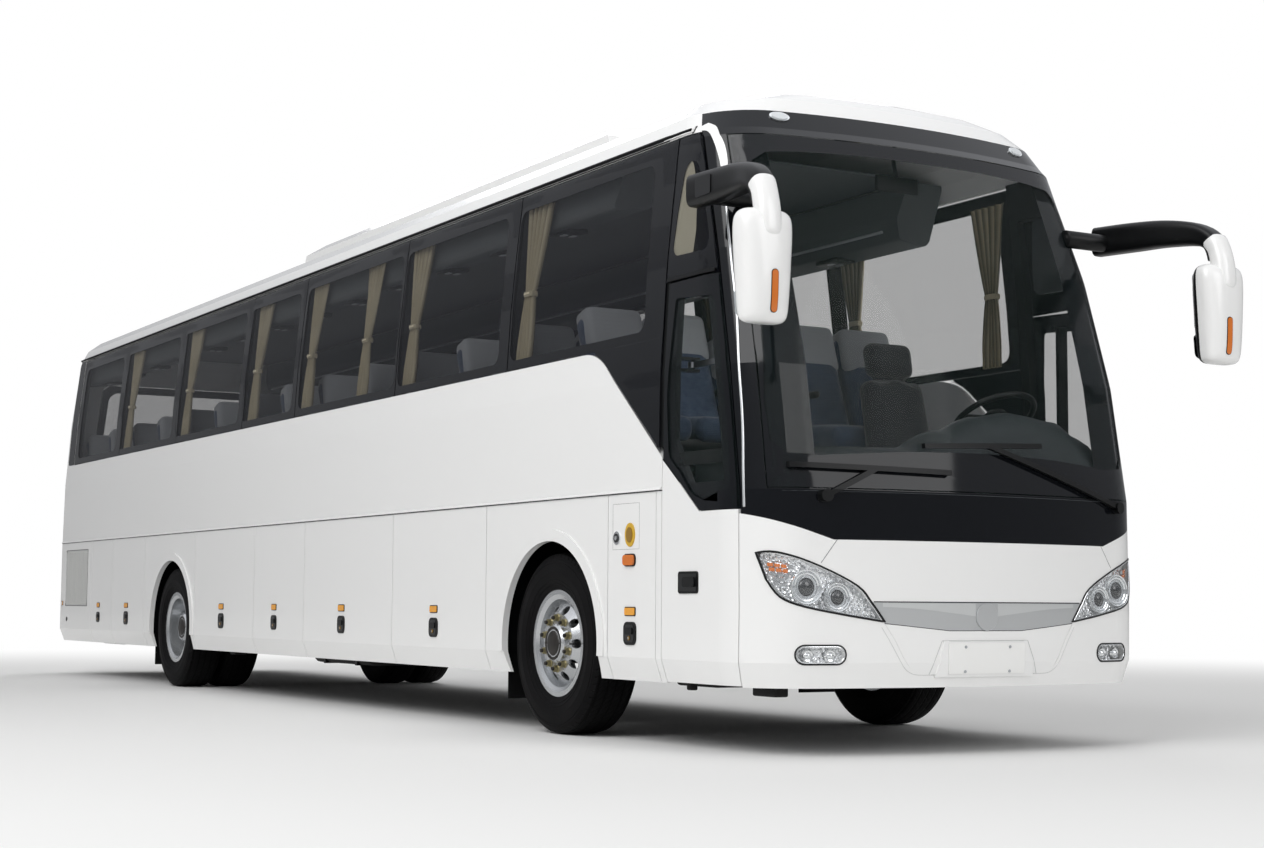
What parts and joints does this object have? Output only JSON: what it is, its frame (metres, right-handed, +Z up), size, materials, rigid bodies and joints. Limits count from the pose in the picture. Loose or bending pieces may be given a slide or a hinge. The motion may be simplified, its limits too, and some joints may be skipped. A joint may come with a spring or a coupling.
{
  "type": "two-axle touring coach bus",
  "caption": "High-floor touring coach on two axles with steering, turning wheels, a swing-out passenger door, lift-up side flaps and a rear engine lid.",
  "frame": {"origin": "on the ground under the middle of the coach's overall length, on its centre line", "axes": "+X to the front, +Y to the coach's left, +Z up"},
  "size_m": [13.3411, 3.1372, 3.62],
  "materials": {
    "white_paint": "gloss white paint",
    "black_gloss": "gloss black paint",
    "tinted_glass": "tinted bonded glass with a black border",
    "clear_glass": "laminated windscreen",
    "lamp_lens": "clear lamp lens over reflectors",
    "grey_moulding": "silver-grey moulding",
    "vent_metal": "silver-grey slats",
    "black_steel": "black chassis paint",
    "floor_cover": "grey floor covering",
    "bright_metal": "satin steel",
    "tyre_rubber": "black rubber",
    "rim_silver": "silver wheel paint",
    "seat_cloth": "blue-grey woven cloth",
    "dark_plastic": "dark grain plastic",
    "curtain_cloth": "beige curtain cloth",
    "flap_rubber": "black rubber sheet"
  },
  "bodies": {
    "coach_body": {"body_glass": "tinted_glass", "cabin_floor": "floor_cover", "chassis_frame": "black_steel", "curtains": "curtain_cloth", "dashboard": "dark_plastic", "driver_seat": "seat_cloth", "engine": "black_steel", "front_axle": "black_steel", "front_black_panels": "black_gloss", "front_lamps": "lamp_lens", "front_panel": "white_paint", "lamp_band": "grey_moulding", "luggage_hold": "black_steel", "luggage_racks": "dark_plastic", "mirrors": "white_paint", "mud_flaps": "flap_rubber", "passenger_seats": "seat_cloth", "rear_axle": "black_steel", "rear_panel": "white_paint", "roof": "white_paint", "roof_pod": "white_paint", "side_wall_left": "white_paint", "side_wall_right": "white_paint", "skirt_left": "white_paint", "skirt_right": "white_paint", "steering_wheel": "dark_plastic", "tail_lamps": "lamp_lens", "vent_grilles": "vent_metal", "wheel_wells": "black_steel", "window_posts": "black_steel", "windscreen": "clear_glass", "windscreen_pillars": "black_gloss", "wipers": "dark_plastic"},
    "knuckle_right": {"knuckle_right": "black_steel"},
    "front_wheel_right": {"front_rim_right": "rim_silver", "front_tyre_right": "tyre_rubber"},
    "rear_wheels_right": {"rear_rims_right": "rim_silver", "rear_tyres_right": "tyre_rubber"},
    "knuckle_left": {"knuckle_left": "black_steel"},
    "front_wheel_left": {"front_rim_left": "rim_silver", "front_tyre_left": "tyre_rubber"},
    "rear_wheels_left": {"rear_rims_left": "rim_silver", "rear_tyres_left": "tyre_rubber"},
    "flap_left_front_1": {"flap_left_front_1": "white_paint"},
    "flap_left_hold_1": {"flap_left_hold_1": "white_paint"},
    "flap_left_hold_2": {"flap_left_hold_2": "white_paint"},
    "flap_left_hold_3": {"flap_left_hold_3": "white_paint"},
    "flap_left_hold_4": {"flap_left_hold_4": "white_paint"},
    "flap_left_rear_2": {"flap_left_rear_2": "white_paint"},
    "flap_right_front_1": {"flap_right_front_1": "white_paint"},
    "flap_right_hold_1": {"flap_right_hold_1": "white_paint"},
    "flap_right_hold_2": {"flap_right_hold_2": "white_paint"},
    "flap_right_hold_3": {"flap_right_hold_3": "white_paint"},
    "flap_right_hold_4": {"flap_right_hold_4": "white_paint"},
    "flap_right_rear_1": {"flap_right_rear_1": "white_paint"},
    "flap_right_rear_2": {"flap_right_rear_2": "white_paint"},
    "engine_lid": {"engine_lid": "white_paint"},
    "door_arm": {"door_arm": "bright_metal"},
    "door": {"door_panel": "white_paint", "door_glass": "tinted_glass"}
  },
  "joints": [
    {"name": "steer_right", "type": "hinge", "parent": "coach_body", "child": "knuckle_right", "pos_m": [4.15, -0.9, 0.506], "axis": [0, 0, 1], "range_deg": [-42, 42]},
    {"name": "front_wheel_spin_right", "type": "hinge", "parent": "knuckle_right", "child": "front_wheel_right", "pos_m": [4.15, -1.087, 0.506], "axis": [0, 1, 0], "continuous": true},
    {"name": "rear_wheel_spin_right", "type": "hinge", "parent": "coach_body", "child": "rear_wheels_right", "pos_m": [-2.85, -0.922, 0.506], "axis": [0, 1, 0], "continuous": true},
    {"name": "steer_left", "type": "hinge", "parent": "coach_body", "child": "knuckle_left", "pos_m": [4.15, 0.9, 0.506], "axis": [0, 0, 1], "range_deg": [-42, 42]},
    {"name": "front_wheel_spin_left", "type": "hinge", "parent": "knuckle_left", "child": "front_wheel_left", "pos_m": [4.15, 1.087, 0.506], "axis": [0, 1, 0], "continuous": true},
    {"name": "rear_wheel_spin_left", "type": "hinge", "parent": "coach_body", "child": "rear_wheels_left", "pos_m": [-2.85, 0.922, 0.506], "axis": [0, 1, 0], "continuous": true},
    {"name": "door_arm_swing", "type": "hinge", "parent": "coach_body", "child": "door_arm", "pos_m": [5.86, -1.12, 1], "axis": [0, 0, 1], "range_deg": [0, 105]},
    {"name": "door_link", "type": "hinge", "parent": "door_arm", "child": "door", "pos_m": [5.44, -1.12, 1], "axis": [0, 0, 1], "range_deg": [-105, 0]},
    {"name": "flap_left_front_1_hinge", "type": "hinge", "parent": "coach_body", "child": "flap_left_front_1", "pos_m": [5.07, 1.265, 1.312], "axis": [1, 0, 0], "range_deg": [0, 85]},
    {"name": "flap_left_hold_1_hinge", "type": "hinge", "parent": "coach_body", "child": "flap_left_hold_1", "pos_m": [-1.47, 1.265, 1.312], "axis": [1, 0, 0], "range_deg": [0, 85]},
    {"name": "flap_left_hold_2_hinge", "type": "hinge", "parent": "coach_body", "child": "flap_left_hold_2", "pos_m": [-0.205, 1.265, 1.312], "axis": [1, 0, 0], "range_deg": [0, 85]},
    {"name": "flap_left_hold_3_hinge", "type": "hinge", "parent": "coach_body", "child": "flap_left_hold_3", "pos_m": [1.135, 1.265, 1.312], "axis": [1, 0, 0], "range_deg": [0, 85]},
    {"name": "flap_left_hold_4_hinge", "type": "hinge", "parent": "coach_body", "child": "flap_left_hold_4", "pos_m": [2.64, 1.265, 1.312], "axis": [1, 0, 0], "range_deg": [0, 85]},
    {"name": "flap_left_rear_2_hinge", "type": "hinge", "parent": "coach_body", "child": "flap_left_rear_2", "pos_m": [-4.15, 1.265, 1.312], "axis": [1, 0, 0], "range_deg": [0, 85]},
    {"name": "flap_right_front_1_hinge", "type": "hinge", "parent": "coach_body", "child": "flap_right_front_1", "pos_m": [5.07, -1.265, 1.312], "axis": [-1, 0, 0], "range_deg": [0, 85]},
    {"name": "flap_right_hold_1_hinge", "type": "hinge", "parent": "coach_body", "child": "flap_right_hold_1", "pos_m": [-1.47, -1.265, 1.312], "axis": [-1, 0, 0], "range_deg": [0, 85]},
    {"name": "flap_right_hold_2_hinge", "type": "hinge", "parent": "coach_body", "child": "flap_right_hold_2", "pos_m": [-0.205, -1.265, 1.312], "axis": [-1, 0, 0], "range_deg": [0, 85]},
    {"name": "flap_right_hold_3_hinge", "type": "hinge", "parent": "coach_body", "child": "flap_right_hold_3", "pos_m": [1.135, -1.265, 1.312], "axis": [-1, 0, 0], "range_deg": [0, 85]},
    {"name": "flap_right_hold_4_hinge", "type": "hinge", "parent": "coach_body", "child": "flap_right_hold_4", "pos_m": [2.64, -1.265, 1.312], "axis": [-1, 0, 0], "range_deg": [0, 85]},
    {"name": "flap_right_rear_1_hinge", "type": "hinge", "parent": "coach_body", "child": "flap_right_rear_1", "pos_m": [-5.035, -1.265, 1.312], "axis": [-1, 0, 0], "range_deg": [0, 85]},
    {"name": "flap_right_rear_2_hinge", "type": "hinge", "parent": "coach_body", "child": "flap_right_rear_2", "pos_m": [-4.15, -1.265, 1.312], "axis": [-1, 0, 0], "range_deg": [0, 85]},
    {"name": "engine_lid_hinge", "type": "hinge", "parent": "coach_body", "child": "engine_lid", "pos_m": [-6.65, 0, 1.56], "axis": [0, 1, 0], "range_deg": [0, 75]}
  ],
  "couplings": [
    {"joint": "steer_left", "follows": "steer_right", "ratio": 1},
    {"joint": "door_link", "follows": "door_arm_swing", "ratio": -1}
  ]
}
